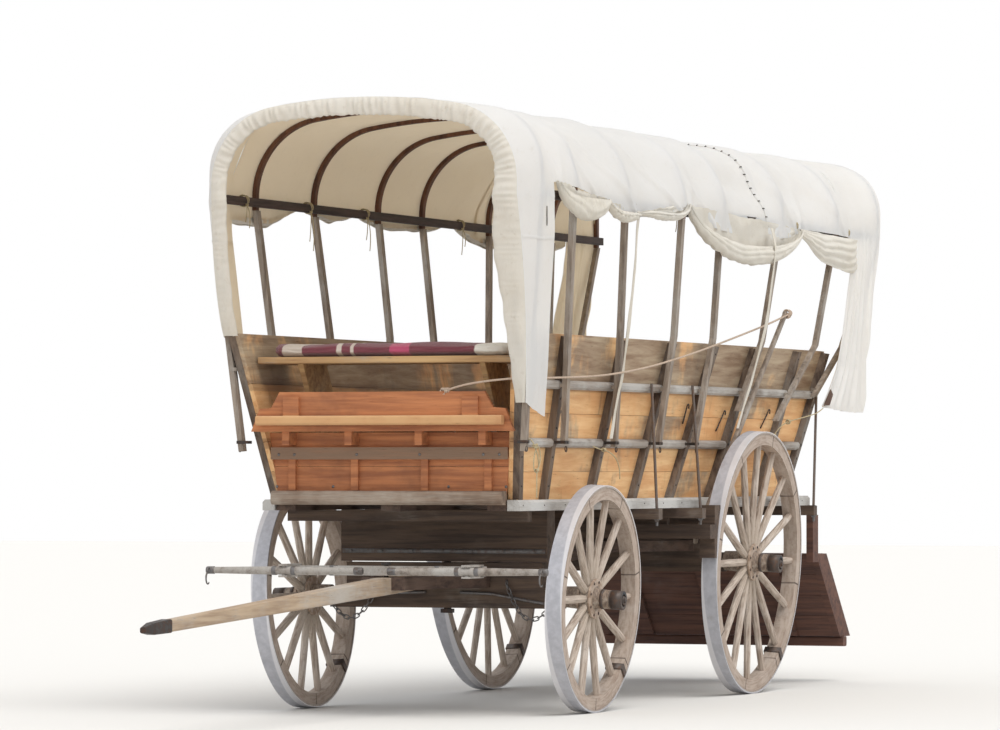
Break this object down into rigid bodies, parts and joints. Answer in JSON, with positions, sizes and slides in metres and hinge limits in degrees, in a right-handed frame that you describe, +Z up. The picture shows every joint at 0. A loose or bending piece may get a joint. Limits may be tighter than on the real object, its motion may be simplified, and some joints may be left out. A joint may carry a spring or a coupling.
{
  "type": "covered horse-drawn wagon",
  "caption": "Covered horse-drawn wagon: board sides, canvas canopy on bent bows, benches, front seat, wooden wheels, turning front gear, tongue with draft bars, brake and rear steps.",
  "frame": {"origin": "on the ground under the middle of the whole length", "axes": "+X forward along the tongue, +Y to the wagon's left, +Z up"},
  "size_m": [8.67, 2.039, 3.2485],
  "materials": {
    "tyre_iron": "worn iron tyre, polished at its edges",
    "wheel_wood": "dry pale wheel wood with chipped paint",
    "hub_wood": "turned pale wood with iron bands",
    "gear_wood": "dark oiled running gear timber",
    "tongue_wood": "weathered pole wood",
    "iron": "dark forged iron",
    "ledge_wood": "grey weathered timber",
    "board_wood": "honey brown boards with grain and knots",
    "rib_wood": "dark brown ribs, grey at their tops",
    "rail_wood": "light grey rounded rails",
    "bow_wood": "dark brown bent bows and staves",
    "canvas": "off-white cotton canvas",
    "blanket": "striped woollen seat blanket",
    "rope": "twisted hemp rope",
    "step_wood": "dark red-brown step boards"
  },
  "bodies": {
    "root": {"rear_axle": "gear_wood", "reach": "gear_wood", "rear_bolster": "gear_wood", "rear_hounds": "gear_wood", "front_bolster": "gear_wood", "kingpin": "iron", "ledges": "ledge_wood", "sills": "gear_wood", "cross_beams": "ledge_wood", "floor": "board_wood", "side_boards": "board_wood", "side_ribs": "rib_wood", "side_rails": "rail_wood", "stays": "iron", "end_boards": "board_wood", "front_beam": "ledge_wood", "footboard": "board_wood", "seat_plank": "board_wood", "seat_uprights": "board_wood", "seat_cushion": "blanket", "benches": "board_wood", "bow_legs": "bow_wood", "bow_hoops": "bow_wood", "bow_rails": "bow_wood", "canopy_roof": "canvas", "front_hem": "canvas", "front_flaps": "canvas", "rear_flaps": "canvas", "swags": "canvas", "brake_beam": "gear_wood", "brake_shoes": "iron", "brake_lever": "gear_wood", "brake_rope": "rope", "step_stringers": "step_wood", "step_boards": "step_wood", "step_treads": "step_wood"},
    "front_gear": {"front_axle": "gear_wood", "sand_board": "gear_wood", "front_hounds": "gear_wood", "tongue": "tongue_wood", "tongue_cap": "iron", "draft_pin": "iron"},
    "evener": {"evener": "tongue_wood"},
    "singletree_left": {"singletree_left": "tongue_wood"},
    "singletree_right": {"singletree_right": "tongue_wood"},
    "wheel_rear_left": {"tyre_rear_left": "tyre_iron", "spokes_rear_left": "wheel_wood", "hub_rear_left": "hub_wood"},
    "wheel_rear_right": {"tyre_rear_right": "tyre_iron", "spokes_rear_right": "wheel_wood", "hub_rear_right": "hub_wood"},
    "wheel_front_left": {"tyre_front_left": "tyre_iron", "spokes_front_left": "wheel_wood", "hub_front_left": "hub_wood"},
    "wheel_front_right": {"tyre_front_right": "tyre_iron", "spokes_front_right": "wheel_wood", "hub_front_right": "hub_wood"}
  },
  "joints": [
    {"name": "steering", "type": "hinge", "parent": "root", "child": "front_gear", "pos_m": [0.485, 0, 0.8], "axis": [0, 0, 1], "range_deg": [-10, 10]},
    {"name": "evener_swing", "type": "hinge", "parent": "front_gear", "child": "evener", "pos_m": [1.345, 0, 0.7695], "axis": [0, 0, 1], "range_deg": [-12, 12]},
    {"name": "singletree_left_swing", "type": "hinge", "parent": "evener", "child": "singletree_left", "pos_m": [1.495, 0.52, 0.7695], "axis": [0, 0, 1], "range_deg": [-10, 18]},
    {"name": "singletree_right_swing", "type": "hinge", "parent": "evener", "child": "singletree_right", "pos_m": [1.495, -0.52, 0.7695], "axis": [0, 0, 1], "range_deg": [-18, 10]},
    {"name": "wheel_rear_left_spin", "type": "hinge", "parent": "root", "child": "wheel_rear_left", "pos_m": [-2.155, 0.845, 0.76336], "axis": [0, 0.9986, -0.0523], "continuous": true},
    {"name": "wheel_rear_right_spin", "type": "hinge", "parent": "root", "child": "wheel_rear_right", "pos_m": [-2.155, -0.845, 0.76336], "axis": [0, -0.9986, -0.0523], "continuous": true},
    {"name": "wheel_front_left_spin", "type": "hinge", "parent": "front_gear", "child": "wheel_front_left", "pos_m": [0.485, 0.845, 0.61107], "axis": [0, 0.9986, -0.0523], "continuous": true},
    {"name": "wheel_front_right_spin", "type": "hinge", "parent": "front_gear", "child": "wheel_front_right", "pos_m": [0.485, -0.845, 0.61107], "axis": [0, -0.9986, -0.0523], "continuous": true}
  ]
}
